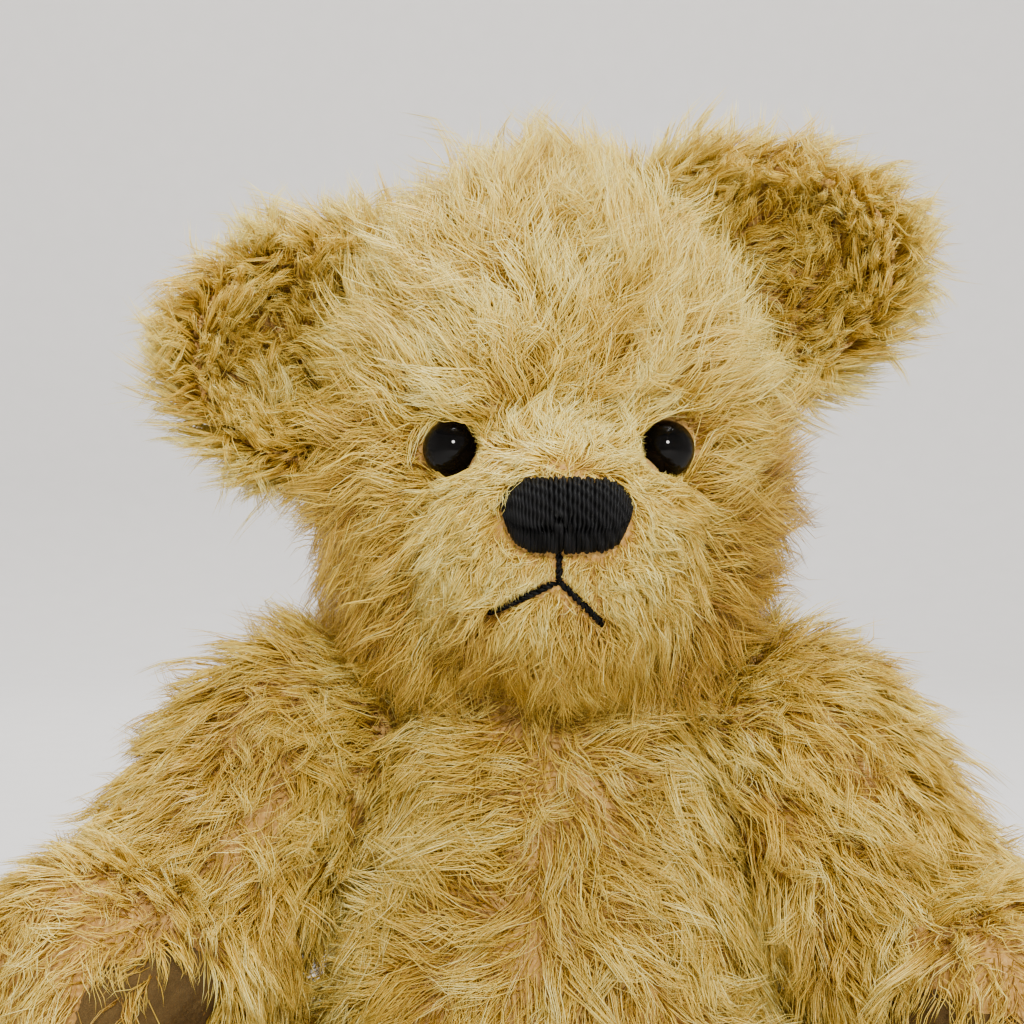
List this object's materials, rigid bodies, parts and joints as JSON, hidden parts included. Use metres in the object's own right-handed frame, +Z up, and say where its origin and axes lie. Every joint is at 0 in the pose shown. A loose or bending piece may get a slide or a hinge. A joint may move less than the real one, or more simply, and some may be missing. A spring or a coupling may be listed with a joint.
{
  "type": "jointed teddy bear",
  "caption": "Golden mohair teddy bear, seated, with a turning head and disc-jointed arms and legs, cupped ears, glass eyes and a stitched nose.",
  "frame": {"origin": "middle of the seat, on the surface the bear sits on, straight below the neck bolt", "axes": "+Z up, -Y the way the bear faces, +X towards its left hand"},
  "size_m": [0.1514, 0.129, 0.1671],
  "materials": {
    "mohair_body": "long sparse golden mohair pile on a peach cotton backing",
    "mohair_ear": "mohair pile, trimmed shorter and darker inside the cup",
    "felt_pad": "short napped wool felt",
    "wool_stuffing": "firmly packed wool",
    "black_thread": "twisted cotton thread in satin stitch",
    "gold_thread": "waxed cotton thread",
    "black_glass": "polished opaque black glass",
    "hardboard": "pressed hardboard",
    "steel": "zinc-plated steel"
  },
  "bodies": {
    "torso": {"torso_left_panel": "mohair_body", "torso_right_panel": "mohair_body", "torso_stuffing": "wool_stuffing", "torso_neck_disc": "hardboard", "torso_shoulder_discs": "hardboard", "torso_hip_discs": "hardboard", "torso_washers": "steel", "back_closing_stitches": "gold_thread"},
    "head": {"head_left_panel": "mohair_body", "head_right_panel": "mohair_body", "head_gusset": "mohair_body", "head_stuffing": "wool_stuffing", "ear_left_front": "mohair_ear", "ear_left_back": "mohair_ear", "ear_right_front": "mohair_ear", "ear_right_back": "mohair_ear", "eye_left": "black_glass", "eye_right": "black_glass", "eye_shanks": "steel", "nose_stitching": "black_thread", "mouth_stitching": "black_thread", "neck_gathering_thread": "gold_thread", "neck_disc": "hardboard", "neck_washer": "steel", "neck_bolt": "steel", "neck_locknut": "steel"},
    "arm_left": {"arm_left_outer_panel": "mohair_body", "arm_left_inner_panel": "mohair_body", "paw_pad_left": "felt_pad", "arm_left_stuffing": "wool_stuffing", "arm_left_disc": "hardboard", "arm_left_washer": "steel", "arm_left_bolt": "steel", "arm_left_locknut": "steel"},
    "leg_left": {"leg_left_outer_panel": "mohair_body", "leg_left_inner_panel": "mohair_body", "foot_pad_left": "felt_pad", "leg_left_stuffing": "wool_stuffing", "leg_left_disc": "hardboard", "leg_left_washer": "steel", "leg_left_bolt": "steel", "leg_left_locknut": "steel"},
    "arm_right": {"arm_right_outer_panel": "mohair_body", "arm_right_inner_panel": "mohair_body", "paw_pad_right": "felt_pad", "arm_right_stuffing": "wool_stuffing", "arm_right_disc": "hardboard", "arm_right_washer": "steel", "arm_right_bolt": "steel", "arm_right_locknut": "steel"},
    "leg_right": {"leg_right_outer_panel": "mohair_body", "leg_right_inner_panel": "mohair_body", "foot_pad_right": "felt_pad", "leg_right_stuffing": "wool_stuffing", "leg_right_disc": "hardboard", "leg_right_washer": "steel", "leg_right_bolt": "steel", "leg_right_locknut": "steel"}
  },
  "joints": [
    {"name": "neck_swivel", "type": "hinge", "parent": "torso", "child": "head", "pos_m": [0, 0, 0.091], "axis": [0, 0, 1], "continuous": true},
    {"name": "shoulder_left", "type": "hinge", "parent": "torso", "child": "arm_left", "pos_m": [0.022, 0, 0.071], "axis": [-0.8461, -0.3248, -0.4226], "range_deg": [-5, 60]},
    {"name": "shoulder_right", "type": "hinge", "parent": "torso", "child": "arm_right", "pos_m": [-0.022, 0, 0.071], "axis": [-0.8461, 0.3248, 0.4226], "range_deg": [-12, 55]},
    {"name": "hip_left", "type": "hinge", "parent": "torso", "child": "leg_left", "pos_m": [0.0256, 0, 0.0184], "axis": [-0.9903, -0.1392, 0], "range_deg": [-95, 5]},
    {"name": "hip_right", "type": "hinge", "parent": "torso", "child": "leg_right", "pos_m": [-0.0256, 0, 0.0184], "axis": [-0.9903, 0.1392, 0], "range_deg": [-95, 5]}
  ]
}
